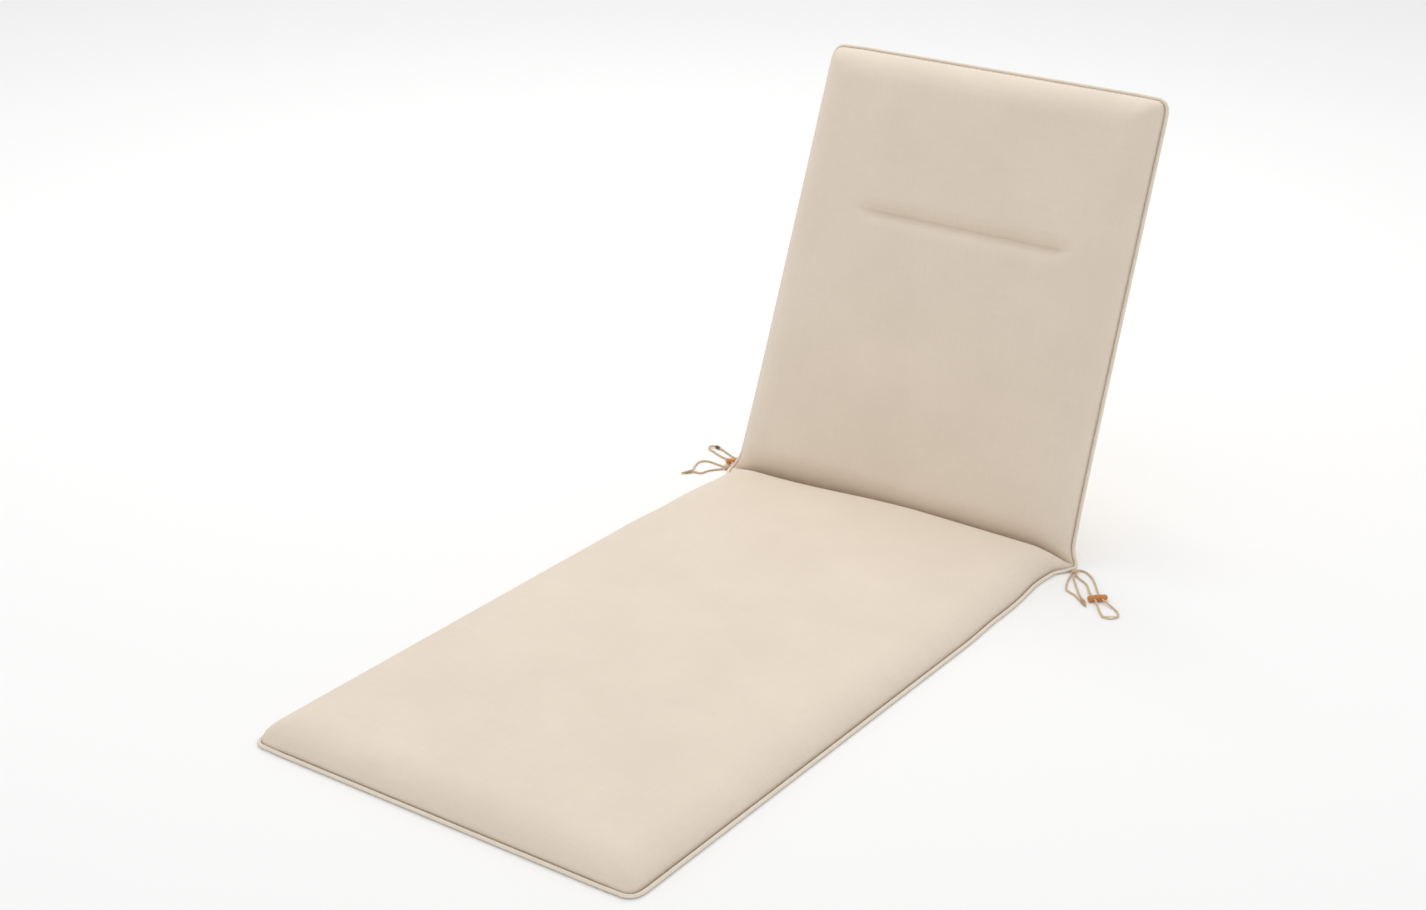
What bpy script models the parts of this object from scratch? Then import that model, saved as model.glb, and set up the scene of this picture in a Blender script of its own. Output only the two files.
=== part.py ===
"""Sun lounger cushion: a long filled seat part with its back part folded up, a piped seam and a tie on each side.

The panel is drawn flat first, with x across, s along it from the foot edge, and n up from its underside.
bend() then folds the back part up about the sewn fold line. Metres, +Z up, +Y from the foot to the head.
"""

import math

import bmesh
import bpy
import numpy as np
from mathutils import Matrix, Vector

# The panel, measured between its seams
SEAT_LENGTH = 1.103
BACK_LENGTH = 0.700
SEAT_HALF_WIDTH = 0.299
BACK_HALF_WIDTH = 0.2945
BACK_TAPER = 0.008
BACK_FOOT_SPREAD = 0.0045
BACK_FOOT_SPREAD_LENGTH = 0.08
FOLD_HALF_WIDTH = 0.3095
BACK_ANGLE = math.radians(70.4)
FOLD_Y = 0.4343

# The filling: rounded shoulders that come down to the seam, and a crown
SEAM_LEVEL = 0.0033
SHOULDER_LEVEL = 0.038
SHOULDER_INSET = 0.050
CORNER_POWER = 6.5
CROWN = 0.008
UNDERSIDE_INSET = 0.012

# The sewn fold between seat and back
FOLD_LEVEL = 0.005
FOLD_LEVEL_REACH = 0.030
FOLD_UNDERSIDE = 0.0018
FOLD_UNDERSIDE_REACH = 0.026
BEND_REACH = 0.010
BACK_ROLL = 0.052
SEAT_ROLL_RIGHT = 0.047
SEAT_ROLL_LEFT = 0.087
SEAT_ROLL_FROM = 0.06
SEAT_ROLL_TO = -0.22

# The sides, which draw in before the fold and stand out at its two ends
NARROWING = 0.0035
NARROWING_START = 0.78
NARROWING_LENGTH = 0.10
DRAW_IN = 0.007
DRAW_IN_FROM_FOLD = 0.085
DRAW_IN_WIDTH = 0.055
SEAT_EAR_REACH = 0.042
BACK_EAR_REACH = 0.032

# The stitched channel across the back
CHANNEL_FROM_FOLD = 0.455
CHANNEL_LEFT = -0.149
CHANNEL_RIGHT = 0.189
CHANNEL_HALF_WIDTH = 0.020
CHANNEL_DEPTH = 0.0125
CHANNEL_REAR_DEPTH = 0.004
CHANNEL_END = 0.030

# The piping, in the seam all round
PIPING_RADIUS = 0.0026
PIPING_GAP = 0.00035
PIPING_SIDES = 8
PIPING_STEP = 0.006

# The ties: cords of 3 mm that lie on the surface the cushion lies on
CORD_RADIUS = 0.0015
CORD_STEP = 0.006
TOGGLE_LENGTH = 0.030
TOGGLE_RADIUS = 0.0052
TOGGLE_WAIST = 0.0046
TOGGLE_END_RADIUS = 0.0038
TOGGLE_HOLE_PITCH = 0.0115
TOGGLE_HOLE_RADIUS = 0.0019
TOGGLE_HEIGHT = 0.0054
TIP_LENGTH = 0.018
TIP_HALF_WIDTH = 0.0037
TIP_HALF_HEIGHT = 0.0022
TIP_POINT = 0.0009
SLEEVE_LENGTH = 0.008
SLEEVE_RADIUS = 0.0026
SLEEVE_BORE = 0.0019

# Each tie's hard pieces: where they lie, and the way along them in degrees from +X towards +Y
RIGHT_TOGGLE = ((0.3865, 0.3540), 44.6)
LEFT_TOGGLE = ((-0.3220, 0.4560), 50.0)
RIGHT_TIP = ((0.3699, 0.3386), -47.5)
LEFT_TIP = ((-0.3586, 0.3832), -119.0)
RIGHT_SLEEVE = ((0.4274, 0.3135, 0.0028), 37.1)
LEFT_SLEEVE = ((-0.3796, 0.4915, 0.0028), 166.6)
KNOTS = {
    "tie_root_right": ((0.3174, 0.4175, 0.0043), (0.0042, 0.0060, 0.0039)),
    "tie_root_left": ((-0.3202, 0.4290, 0.0043), (0.0045, 0.0056, 0.0039)),
}

# The cords' routes, in metres
ROUTES = {
    "cord_right_plain_near": [
        (0.3162, 0.4106, 0.0024),
        (0.3196, 0.3965, 0.0017),
        (0.3240, 0.3815, 0.0017),
        (0.3292, 0.3680, 0.0017),
        (0.3345, 0.3585, 0.0017),
        (0.3425, 0.3538, 0.0017),
        (0.3512, 0.3502, 0.0017),
        (0.3585, 0.3450, 0.0018),
        (0.3634, 0.3408, 0.0021),
        (0.3683, 0.3376, 0.0023),
    ],
    "cord_right_plain_far": [
        (0.3204, 0.4110, 0.0024),
        (0.3258, 0.3990, 0.0017),
        (0.3340, 0.3868, 0.0017),
        (0.3420, 0.3755, 0.0017),
        (0.3500, 0.3645, 0.0017),
        (0.3572, 0.3548, 0.0017),
        (0.3640, 0.3470, 0.0020),
        (0.3711, 0.3401, 0.0023),
    ],
    "cord_right_toggle_loop": [
        (0.3223, 0.4142, 0.0026),
        (0.3275, 0.4078, 0.0018),
        (0.3350, 0.4021, 0.0017),
        (0.3448, 0.3965, 0.0017),
        (0.3540, 0.3875, 0.0017),
        (0.3622, 0.3755, 0.0021),
        (0.3690, 0.3648, 0.0038),
        (0.3761, 0.3564, 0.0052),
        (0.3824, 0.3500, 0.0054),
        (0.3887, 0.3436, 0.0052),
        (0.3958, 0.3352, 0.0036),
        (0.4033, 0.3255, 0.0021),
        (0.4095, 0.3180, 0.0020),
        (0.4144, 0.3118, 0.0023),
        (0.4164, 0.3101, 0.0026),
        (0.4189, 0.3092, 0.0028),
        (0.4215, 0.3094, 0.0028),
        (0.4238, 0.3107, 0.0028),
        (0.4274, 0.3135, 0.0028),
        (0.4310, 0.3162, 0.0028),
        (0.4325, 0.3178, 0.0027),
        (0.4335, 0.3198, 0.0025),
        (0.4338, 0.3220, 0.0022),
        (0.4334, 0.3245, 0.0019),
        (0.4308, 0.3315, 0.0017),
        (0.4252, 0.3380, 0.0017),
        (0.4180, 0.3432, 0.0021),
        (0.4095, 0.3470, 0.0034),
        (0.4025, 0.3502, 0.0047),
        (0.3963, 0.3531, 0.0053),
        (0.3906, 0.3581, 0.0054),
        (0.3843, 0.3645, 0.0051),
        (0.3785, 0.3730, 0.0035),
        (0.3707, 0.3851, 0.0019),
        (0.3594, 0.4017, 0.0017),
        (0.3467, 0.4175, 0.0017),
        (0.3350, 0.4270, 0.0017),
        (0.3272, 0.4302, 0.0018),
        (0.3212, 0.4286, 0.0022),
        (0.3184, 0.4244, 0.0026),
    ],
    "cord_left_plain_far": [
        (-0.3251, 0.4309, 0.0024),
        (-0.3330, 0.4333, 0.0017),
        (-0.3430, 0.4341, 0.0017),
        (-0.3520, 0.4354, 0.0017),
        (-0.3605, 0.4354, 0.0017),
        (-0.3675, 0.4318, 0.0017),
        (-0.3705, 0.4240, 0.0017),
        (-0.3690, 0.4131, 0.0017),
        (-0.3645, 0.4006, 0.0017),
        (-0.3609, 0.3933, 0.0019),
        (-0.3594, 0.3890, 0.0021),
        (-0.3597, 0.3848, 0.0023),
    ],
    "cord_left_plain_near": [
        (-0.3226, 0.4238, 0.0024),
        (-0.3288, 0.4170, 0.0018),
        (-0.3345, 0.4100, 0.0017),
        (-0.3384, 0.4025, 0.0017),
        (-0.3398, 0.3970, 0.0017),
        (-0.3402, 0.3931, 0.0017),
        (-0.3410, 0.3898, 0.0017),
        (-0.3432, 0.3873, 0.0017),
        (-0.3464, 0.3863, 0.0018),
        (-0.3500, 0.3862, 0.0019),
        (-0.3534, 0.3853, 0.0021),
        (-0.3564, 0.3831, 0.0023),
    ],
    "cord_left_toggle_loop": [
        (-0.3214, 0.4352, 0.0030),
        (-0.3203, 0.4382, 0.0030),
        (-0.3193, 0.4409, 0.0033),
        (-0.3189, 0.4435, 0.0039),
        (-0.3195, 0.4460, 0.0046),
        (-0.3211, 0.4477, 0.0052),
        (-0.3257, 0.4516, 0.0054),
        (-0.3307, 0.4558, 0.0051),
        (-0.3380, 0.4597, 0.0032),
        (-0.3460, 0.4623, 0.0019),
        (-0.3550, 0.4650, 0.0017),
        (-0.3640, 0.4686, 0.0017),
        (-0.3730, 0.4726, 0.0017),
        (-0.3820, 0.4766, 0.0018),
        (-0.3866, 0.4785, 0.0019),
        (-0.3895, 0.4802, 0.0021),
        (-0.3917, 0.4824, 0.0023),
        (-0.3927, 0.4853, 0.0025),
        (-0.3921, 0.4884, 0.0027),
        (-0.3903, 0.4910, 0.0028),
        (-0.3877, 0.4924, 0.0028),
        (-0.3845, 0.4926, 0.0028),
        (-0.3796, 0.4915, 0.0028),
        (-0.3747, 0.4904, 0.0027),
        (-0.3666, 0.4880, 0.0021),
        (-0.3550, 0.4828, 0.0017),
        (-0.3420, 0.4765, 0.0018),
        (-0.3310, 0.4700, 0.0033),
        (-0.3233, 0.4646, 0.0051),
        (-0.3183, 0.4604, 0.0054),
        (-0.3137, 0.4565, 0.0053),
        (-0.3119, 0.4544, 0.0051),
        (-0.3112, 0.4518, 0.0049),
        (-0.3117, 0.4490, 0.0047),
        (-0.3145, 0.4422, 0.0045),
        (-0.3176, 0.4352, 0.0045),
    ],
}

FLAT_LENGTH = SEAT_LENGTH + BACK_LENGTH
CHANNEL_S = SEAT_LENGTH + CHANNEL_FROM_FOLD


def clear_scene():
    for obj in list(bpy.data.objects):
        bpy.data.objects.remove(obj, do_unlink=True)


def material(name, color, roughness):
    made = bpy.data.materials.new(name)
    made.use_nodes = True
    shader = made.node_tree.nodes["Principled BSDF"]
    shader.inputs["Base Color"].default_value = (*color, 1.0)
    shader.inputs["Roughness"].default_value = roughness
    shader.inputs["Metallic"].default_value = 0.0
    return made


def smoothstep(t):
    t = min(max(t, 0.0), 1.0)
    return t * t * (3.0 - 2.0 * t)


def half_width(s):
    """Half the panel's width between its seams, s along the flat panel."""
    d = s - SEAT_LENGTH
    if d <= 0.0:
        width = SEAT_HALF_WIDTH
        width -= NARROWING * smoothstep((s - NARROWING_START) / NARROWING_LENGTH)
        width -= DRAW_IN * math.exp(-(((d + DRAW_IN_FROM_FOLD) / DRAW_IN_WIDTH) ** 2))
        ear = max(0.0, 1.0 - (d / SEAT_EAR_REACH) ** 2) ** 2
        return width + (FOLD_HALF_WIDTH - width) * ear
    width = BACK_HALF_WIDTH - BACK_TAPER * d / BACK_LENGTH
    width += BACK_FOOT_SPREAD * math.exp(-d / BACK_FOOT_SPREAD_LENGTH)
    ear = max(0.0, 1.0 - d / BACK_EAR_REACH) ** 2
    return width + (FOLD_HALF_WIDTH - width) * ear


def end_distance(s):
    """How far s lies inside the nearer end of the panel, foot or head."""
    return min(s, FLAT_LENGTH - s)


def row_half_width(s):
    """half_width with the foot's and head's corners rounded off."""
    reach = min(max(1.0 - end_distance(s) / SHOULDER_INSET, 0.0), 1.0)
    spare = (1.0 - reach**CORNER_POWER) ** (1.0 / CORNER_POWER)
    return half_width(s) - SHOULDER_INSET * (1.0 - spare)


def seam_level(s):
    near = max(0.0, 1.0 - abs(s - SEAT_LENGTH) / FOLD_LEVEL_REACH)
    return SEAM_LEVEL + (FOLD_LEVEL - SEAM_LEVEL) * near**2


def shoulder(x, s):
    """0 at the seam to 1 on the flat of the panel, from the outer edges alone."""
    side = max(0.0, 1.0 - (half_width(s) - abs(x)) / SHOULDER_INSET)
    end = max(0.0, 1.0 - end_distance(s) / SHOULDER_INSET)
    out = (side**CORNER_POWER + end**CORNER_POWER) ** (1.0 / CORNER_POWER)
    return math.sqrt(max(0.0, 1.0 - min(out, 1.0) ** 2))


def fold_roll(x, s):
    """0 in the sewn fold to 1 where seat and back reach their full height."""
    d = s - SEAT_LENGTH
    if d <= 0.0:
        slack = smoothstep((SEAT_ROLL_FROM - x) / (SEAT_ROLL_FROM - SEAT_ROLL_TO))
        reach = SEAT_ROLL_RIGHT + (SEAT_ROLL_LEFT - SEAT_ROLL_RIGHT) * slack
    else:
        reach = BACK_ROLL
    return 1.0 - max(0.0, 1.0 - abs(d) / reach) ** 2


def crown(x, s):
    """Height of the filling above its shoulders, with the slight unevenness of a filled cushion."""
    across = 1.0 - (x / half_width(s)) ** 2
    along = s / SEAT_LENGTH if s <= SEAT_LENGTH else (s - SEAT_LENGTH) / BACK_LENGTH
    lengthways = 4.0 * along * (1.0 - along)
    uneven = 0.12 * math.sin(9.0 * x + 7.0 * s) + 0.08 * math.sin(17.0 * x - 11.0 * s + 1.0)
    return CROWN * max(0.0, across) * max(0.0, lengthways) ** 0.5 * (1.0 + uneven)


def channel(x, s):
    """1 on the stitch line of the back's channel, falling to 0 beside it and past its ends."""
    inside = min(x - CHANNEL_LEFT, CHANNEL_RIGHT - x)
    along = smoothstep(0.5 + inside / CHANNEL_END)
    across = max(0.0, 1.0 - abs(s - CHANNEL_S) / CHANNEL_HALF_WIDTH) ** 1.6
    return along * across


def top_level(x, s):
    height = shoulder(x, s) * fold_roll(x, s)
    level = seam_level(s) + (SHOULDER_LEVEL - seam_level(s)) * height + crown(x, s) * height
    return level - CHANNEL_DEPTH * channel(x, s)


def underside_level(x, s):
    inside = min(row_half_width(s) - abs(x), end_distance(s))
    edge = max(0.0, 1.0 - inside / UNDERSIDE_INSET) ** 2
    fold = max(0.0, 1.0 - abs(s - SEAT_LENGTH) / FOLD_UNDERSIDE_REACH) ** 2
    level = FOLD_UNDERSIDE * fold
    level += (seam_level(s) - level) * edge
    return level + CHANNEL_REAR_DEPTH * channel(x, s)


def bend(x, s, n):
    """The flat panel's point (x, s, n) with the back folded up about the line x along, FOLD_LEVEL up."""
    d = s - SEAT_LENGTH
    share = min(max(0.5 + 0.5 * d / BEND_REACH, 0.0), 1.0)
    angle = BACK_ANGLE * share
    rise = n - FOLD_LEVEL
    y = FOLD_Y + d * math.cos(angle) - rise * math.sin(angle)
    z = FOLD_LEVEL + d * math.sin(angle) + rise * math.cos(angle)
    return (x, y, z)


def panel_rows():
    """Places along the panel: close together at the ends, the fold and the channel."""
    corner = [0.0, 0.00095, 0.00505, 0.014, 0.0265, SHOULDER_INSET]
    near_fold = [0.088, 0.068, 0.052, 0.038, 0.026, 0.017, BEND_REACH]
    near_channel = [-0.030, -0.020, -0.010, -0.004, 0.0, 0.004, 0.010, 0.020, 0.030]
    rows = list(corner)
    rows += list(np.linspace(SHOULDER_INSET, SEAT_LENGTH - 0.12, 11)[1:])
    rows += [SEAT_LENGTH - d for d in near_fold]
    rows += [SEAT_LENGTH]
    rows += [SEAT_LENGTH + d for d in reversed(near_fold)]
    rows += list(np.linspace(SEAT_LENGTH + 0.15, CHANNEL_S - 0.075, 4))
    rows += [CHANNEL_S + d for d in near_channel]
    rows += list(np.linspace(CHANNEL_S + 0.065, FLAT_LENGTH - 0.095, 2))
    rows += [FLAT_LENGTH - d for d in reversed(corner)]
    return rows


def row_points(s):
    """Places across the panel at s: close together on the shoulders, even between them."""
    half = row_half_width(s)
    insets = [0.0, 0.0035, 0.012, 0.026, SHOULDER_INSET]
    scale = half / half_width(s)
    left = [-half + inset * scale for inset in insets]
    between = list(np.linspace(left[-1], -left[-1], 13)[1:-1])
    return left + between + [-x for x in reversed(left)]


def new_object(name, mesh_or_curve, surface):
    obj = bpy.data.objects.new(name, mesh_or_curve)
    mesh_or_curve.materials.append(surface)
    bpy.context.scene.collection.objects.link(obj)
    return obj


def mesh_object(name, points, faces, surface, sharp_degrees=40.0):
    mesh = bpy.data.meshes.new(name)
    mesh.from_pydata([tuple(p) for p in points], [], faces)
    mesh.validate()
    mesh.shade_smooth()
    mesh.set_sharp_from_angle(angle=math.radians(sharp_degrees))
    return new_object(name, mesh, surface)


def build_cushion(surface):
    """One closed solid: the top's grid and the underside's share the seam all round."""
    rows = panel_rows()
    grid = [[(x, s) for x in row_points(s)] for s in rows]
    last_row = len(rows) - 1
    last_column = len(grid[0]) - 1
    points = []
    top = {}
    under = {}
    for i, row in enumerate(grid):
        for j, (x, s) in enumerate(row):
            top[i, j] = len(points)
            on_seam = i in (0, last_row) or j in (0, last_column)
            points.append(bend(x, s, seam_level(s) if on_seam else top_level(x, s)))
            if on_seam:
                under[i, j] = top[i, j]
                continue
            under[i, j] = len(points)
            points.append(bend(x, s, underside_level(x, s)))
    faces = []
    for i in range(last_row):
        for j in range(last_column):
            around = [(i, j), (i, j + 1), (i + 1, j + 1), (i + 1, j)]
            faces.append([top[k] for k in around])
            faces.append([under[k] for k in reversed(around)])
    return mesh_object("cushion", points, faces, surface)


def seam_line():
    """The seam as a closed list of (x, s), counter-clockwise seen from above."""
    rows = panel_rows()
    foot = [(x, rows[0]) for x in row_points(rows[0])]
    head = [(x, rows[-1]) for x in row_points(rows[-1])]
    right = [(row_half_width(s), s) for s in rows[1:-1]]
    line = foot + right + head[::-1] + [(-x, s) for x, s in right[::-1]]
    kept = [line[0]]
    for point in line[1:]:
        if math.dist(point, kept[-1]) >= PIPING_STEP:
            kept.append(point)
    return kept


def build_piping(surface):
    """A closed tube beside the seam."""
    line = np.array(seam_line())
    before = np.roll(line, 1, axis=0)
    after = np.roll(line, -1, axis=0)
    offset = PIPING_RADIUS + PIPING_GAP
    points = []
    for here, b, a in zip(line, before, after):
        arriving = (here - b) / np.linalg.norm(here - b)
        leaving = (a - here) / np.linalg.norm(a - here)
        along = (arriving + leaving) / np.linalg.norm(arriving + leaving)
        outward = np.array([along[1], -along[0]])
        reach = offset / max(0.5, float(np.dot(along, leaving)))
        for k in range(PIPING_SIDES):
            turn = 2.0 * math.pi * k / PIPING_SIDES
            x, s = here + outward * (reach + PIPING_RADIUS * math.cos(turn))
            points.append(bend(x, s, seam_level(here[1]) + PIPING_RADIUS * math.sin(turn)))
    faces = []
    count = len(line)
    for i in range(count):
        for k in range(PIPING_SIDES):
            this = i * PIPING_SIDES
            following = (i + 1) % count * PIPING_SIDES
            step = (k + 1) % PIPING_SIDES
            faces.append([this + k, following + k, following + step, this + step])
    return mesh_object("piping", points, faces, surface)


def smooth_route(route, step):
    """Points about step apart on the smooth curve through a route's own points."""
    given = [Vector(p) for p in route]
    given = [given[0] * 2.0 - given[1]] + given + [given[-1] * 2.0 - given[-2]]
    fine = []
    for a, b, c, d in zip(given, given[1:], given[2:], given[3:]):
        for k in range(16):
            t = k / 16.0
            bulge = a * -1.0 + b * 3.0 - c * 3.0 + d
            sweep = a * 2.0 - b * 5.0 + c * 4.0 - d
            fine.append(b + ((c - a) * t + sweep * t * t + bulge * t * t * t) * 0.5)
    fine.append(given[-2])
    lengths = [0.0]
    for p, q in zip(fine, fine[1:]):
        lengths.append(lengths[-1] + (q - p).length)
    count = max(2, round(lengths[-1] / step))
    places = np.linspace(0.0, lengths[-1], count + 1)
    return [tuple(np.interp(at, lengths, [p[i] for p in fine]) for i in range(3)) for at in places]


def build_cord(name, surface):
    curve = bpy.data.curves.new(name, "CURVE")
    curve.dimensions = "3D"
    curve.bevel_depth = CORD_RADIUS
    curve.bevel_resolution = 2
    curve.use_fill_caps = True
    points = smooth_route(ROUTES[name], CORD_STEP)
    spline = curve.splines.new("POLY")
    spline.points.add(len(points) - 1)
    for point, place in zip(spline.points, points):
        point.co = (*place, 1.0)
    return new_object(name, curve, surface)


def turned(profile, sides):
    """Points and faces of a closed solid turned about +X from (x, radius) pairs, with x rising."""
    points = [(profile[0][0], 0.0, 0.0)]
    for x, radius in profile:
        for k in range(sides):
            turn = 2.0 * math.pi * k / sides
            points.append((x, radius * math.cos(turn), radius * math.sin(turn)))
    points.append((profile[-1][0], 0.0, 0.0))
    faces = []
    last = len(points) - 1
    for k in range(sides):
        step = (k + 1) % sides
        faces.append([0, 1 + step, 1 + k])
        for i in range(len(profile) - 1):
            this = 1 + i * sides
            following = this + sides
            faces.append([this + k, this + step, following + step, following + k])
        rim = 1 + (len(profile) - 1) * sides
        faces.append([rim + k, rim + step, last])
    return points, faces


def lay(obj, place, degrees):
    """Lays a piece that was made along +X at a place on the surface, turned about +Z."""
    obj.location = place
    obj.rotation_euler = (0.0, 0.0, math.radians(degrees))


def build_toggle(name, place, surface, dark):
    """A turned wooden bar with a full middle, a waist on each side and two holes across it."""
    (x, y), degrees = place
    half = TOGGLE_LENGTH / 2.0
    profile = [
        (-half, TOGGLE_END_RADIUS * 0.55),
        (-half + 0.0006, TOGGLE_END_RADIUS * 0.88),
        (-half + 0.0020, TOGGLE_END_RADIUS + 0.0004),
        (-half + 0.0046, TOGGLE_WAIST + 0.0003),
        (-half + 0.0076, TOGGLE_WAIST),
        (-0.0040, TOGGLE_RADIUS - 0.0001),
        (0.0, TOGGLE_RADIUS),
    ]
    profile += [(-px, radius) for px, radius in reversed(profile[:-1])]
    obj = mesh_object(name, *turned(profile, 20), surface, 50.0)
    lay(obj, (x, y, TOGGLE_HEIGHT), degrees)
    for side in (-1.0, 1.0):
        hole = bpy.data.meshes.new(name + "_hole")
        shape = bmesh.new()
        bmesh.ops.create_cone(
            shape,
            cap_ends=True,
            segments=16,
            radius1=TOGGLE_HOLE_RADIUS,
            radius2=TOGGLE_HOLE_RADIUS,
            depth=TOGGLE_RADIUS * 3.0,
            matrix=Matrix.Rotation(math.pi / 2.0, 4, "X"),
        )
        shape.to_mesh(hole)
        shape.free()
        cutter = new_object(f"{name}_hole_{'near' if side < 0 else 'far'}", hole, dark)
        cutter.parent = obj
        cutter.location = (side * TOGGLE_HOLE_PITCH / 2.0, 0.0, 0.0)
        cutter.hide_render = True
        cutter.display_type = "WIRE"
        cut = obj.modifiers.new("hole", "BOOLEAN")
        cut.object = cutter
        cut.operation = "DIFFERENCE"
        cut.solver = "EXACT"
    return obj


def build_tip(name, place, surface):
    """A flattened cap that narrows to a point: it holds the ends of the plain loop's two strands."""
    (x, y), degrees = place
    share = [0.0, 0.25, 0.55, 0.85, 1.0]
    profile = []
    for t in share:
        radius = TIP_HALF_WIDTH + (TIP_POINT - TIP_HALF_WIDTH) * t**1.3
        profile.append((TIP_LENGTH * t, radius))
    obj = mesh_object(name, *turned(profile, 14), surface)
    flatten = Matrix.Diagonal((1.0, 1.0, TIP_HALF_HEIGHT / TIP_HALF_WIDTH, 1.0))
    obj.data.transform(flatten)
    lay(obj, (x, y, TIP_HALF_HEIGHT + 0.0001), degrees)
    return obj


def build_sleeve(name, place, surface):
    """A short crimped tube round the loop's cord."""
    (x, y, z), degrees = place
    half = SLEEVE_LENGTH / 2.0
    rings = [(-half, SLEEVE_RADIUS), (half, SLEEVE_RADIUS), (half, SLEEVE_BORE), (-half, SLEEVE_BORE)]
    sides = 14
    points = []
    faces = []
    for px, radius in rings:
        for k in range(sides):
            turn = 2.0 * math.pi * k / sides
            points.append((px, radius * math.cos(turn), radius * math.sin(turn)))
    for i in range(4):
        for k in range(sides):
            this = i * sides
            following = (i + 1) % 4 * sides
            step = (k + 1) % sides
            faces.append([this + k, this + step, following + step, following + k])
    obj = mesh_object(name, points, faces, surface)
    lay(obj, (x, y, z), degrees)
    return obj


def build_knot(name, surface):
    place, radii = KNOTS[name]
    mesh = bpy.data.meshes.new(name)
    shape = bmesh.new()
    bmesh.ops.create_uvsphere(shape, u_segments=14, v_segments=9, radius=1.0)
    shape.to_mesh(mesh)
    shape.free()
    mesh.transform(Matrix.Diagonal((*radii, 1.0)))
    mesh.shade_smooth()
    obj = new_object(name, mesh, surface)
    obj.location = place
    return obj


def main():
    clear_scene()
    cover = material("cover_fabric", (0.78, 0.68, 0.56), 0.9)
    trim = material("piping_fabric", (0.84, 0.74, 0.60), 0.85)
    string = material("tie_cord", (0.74, 0.58, 0.38), 0.8)
    wood = material("toggle_wood", (0.55, 0.20, 0.03), 0.3)
    crimp = material("tie_end", (0.42, 0.30, 0.17), 0.6)
    build_cushion(cover)
    build_piping(trim)
    for name in KNOTS:
        build_knot(name, string)
    for name in ROUTES:
        build_cord(name, string)
    build_toggle("toggle_right", RIGHT_TOGGLE, wood, crimp)
    build_toggle("toggle_left", LEFT_TOGGLE, wood, crimp)
    build_tip("tie_tip_right", RIGHT_TIP, crimp)
    build_tip("tie_tip_left", LEFT_TIP, crimp)
    build_sleeve("loop_sleeve_right", RIGHT_SLEEVE, crimp)
    build_sleeve("loop_sleeve_left", LEFT_SLEEVE, crimp)


main()
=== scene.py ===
"""Looks of a sun lounger cushion: woven cover, piped seam, braided ties with turned wooden toggles."""

import math

import bmesh
import bpy
import numpy as np
from mathutils import Matrix, Vector


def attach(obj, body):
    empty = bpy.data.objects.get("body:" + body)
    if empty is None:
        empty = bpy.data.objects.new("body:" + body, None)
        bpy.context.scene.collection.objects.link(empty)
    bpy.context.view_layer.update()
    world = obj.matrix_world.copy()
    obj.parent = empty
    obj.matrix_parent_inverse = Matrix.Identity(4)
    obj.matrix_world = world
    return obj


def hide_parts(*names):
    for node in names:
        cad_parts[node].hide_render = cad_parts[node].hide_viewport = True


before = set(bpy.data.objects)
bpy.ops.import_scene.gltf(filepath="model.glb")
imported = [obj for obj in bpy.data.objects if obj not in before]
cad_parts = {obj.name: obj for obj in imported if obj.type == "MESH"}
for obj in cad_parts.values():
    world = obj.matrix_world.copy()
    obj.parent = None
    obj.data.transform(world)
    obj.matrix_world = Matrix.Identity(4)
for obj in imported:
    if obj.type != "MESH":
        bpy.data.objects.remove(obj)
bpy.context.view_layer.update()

# The camera that fits the photograph
CAMERA_PLACE = Vector((1.6537, -2.5173, 1.5295))
CAMERA_YAW = math.radians(-34.18)
CAMERA_PITCH = math.radians(22.99)
CAMERA_ROLL = math.radians(1.15)
CAMERA_LENS = 59.51

# The panel, as in the CAD model
SEAT_LENGTH = 1.103
BACK_LENGTH = 0.700
SEAT_HALF_WIDTH = 0.299
BACK_HALF_WIDTH = 0.2945
BACK_TAPER = 0.008
BACK_FOOT_SPREAD = 0.0045
BACK_FOOT_SPREAD_LENGTH = 0.08
FOLD_HALF_WIDTH = 0.3095
BACK_ANGLE = math.radians(70.4)
FOLD_Y = 0.4343
SEAM_LEVEL = 0.0033
SHOULDER_LEVEL = 0.038
SHOULDER_INSET = 0.050
CORNER_POWER = 6.5
CROWN = 0.008
UNDERSIDE_INSET = 0.012
FOLD_LEVEL = 0.005
FOLD_LEVEL_REACH = 0.030
FOLD_UNDERSIDE = 0.0018
FOLD_UNDERSIDE_REACH = 0.026
BEND_REACH = 0.010
TOP_BEND_REACH = 0.0015
BACK_ROLL = 0.052
SEAT_ROLL_RIGHT = 0.047
SEAT_ROLL_LEFT = 0.087
SEAT_ROLL_FROM = 0.06
SEAT_ROLL_TO = -0.22
NARROWING = 0.0035
NARROWING_START = 0.78
NARROWING_LENGTH = 0.10
DRAW_IN = 0.007
DRAW_IN_FROM_FOLD = 0.085
DRAW_IN_WIDTH = 0.055
SEAT_EAR_REACH = 0.042
BACK_EAR_REACH = 0.032
CHANNEL_FROM_FOLD = 0.455
CHANNEL_LEFT = -0.149
CHANNEL_RIGHT = 0.189
CHANNEL_HALF_WIDTH = 0.020
CHANNEL_DEPTH = 0.0125
CHANNEL_REAR_DEPTH = 0.004
CHANNEL_END = 0.030
CHANNEL_SHARPNESS = 1.6
PIPING_RADIUS = 0.0026
PIPING_GAP = 0.00035
CORD_RADIUS = 0.0015
RIGHT_TOGGLE_DEGREES = 44.6
LEFT_TOGGLE_DEGREES = 50.0

FLAT_LENGTH = SEAT_LENGTH + BACK_LENGTH
CHANNEL_S = SEAT_LENGTH + CHANNEL_FROM_FOLD

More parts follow.
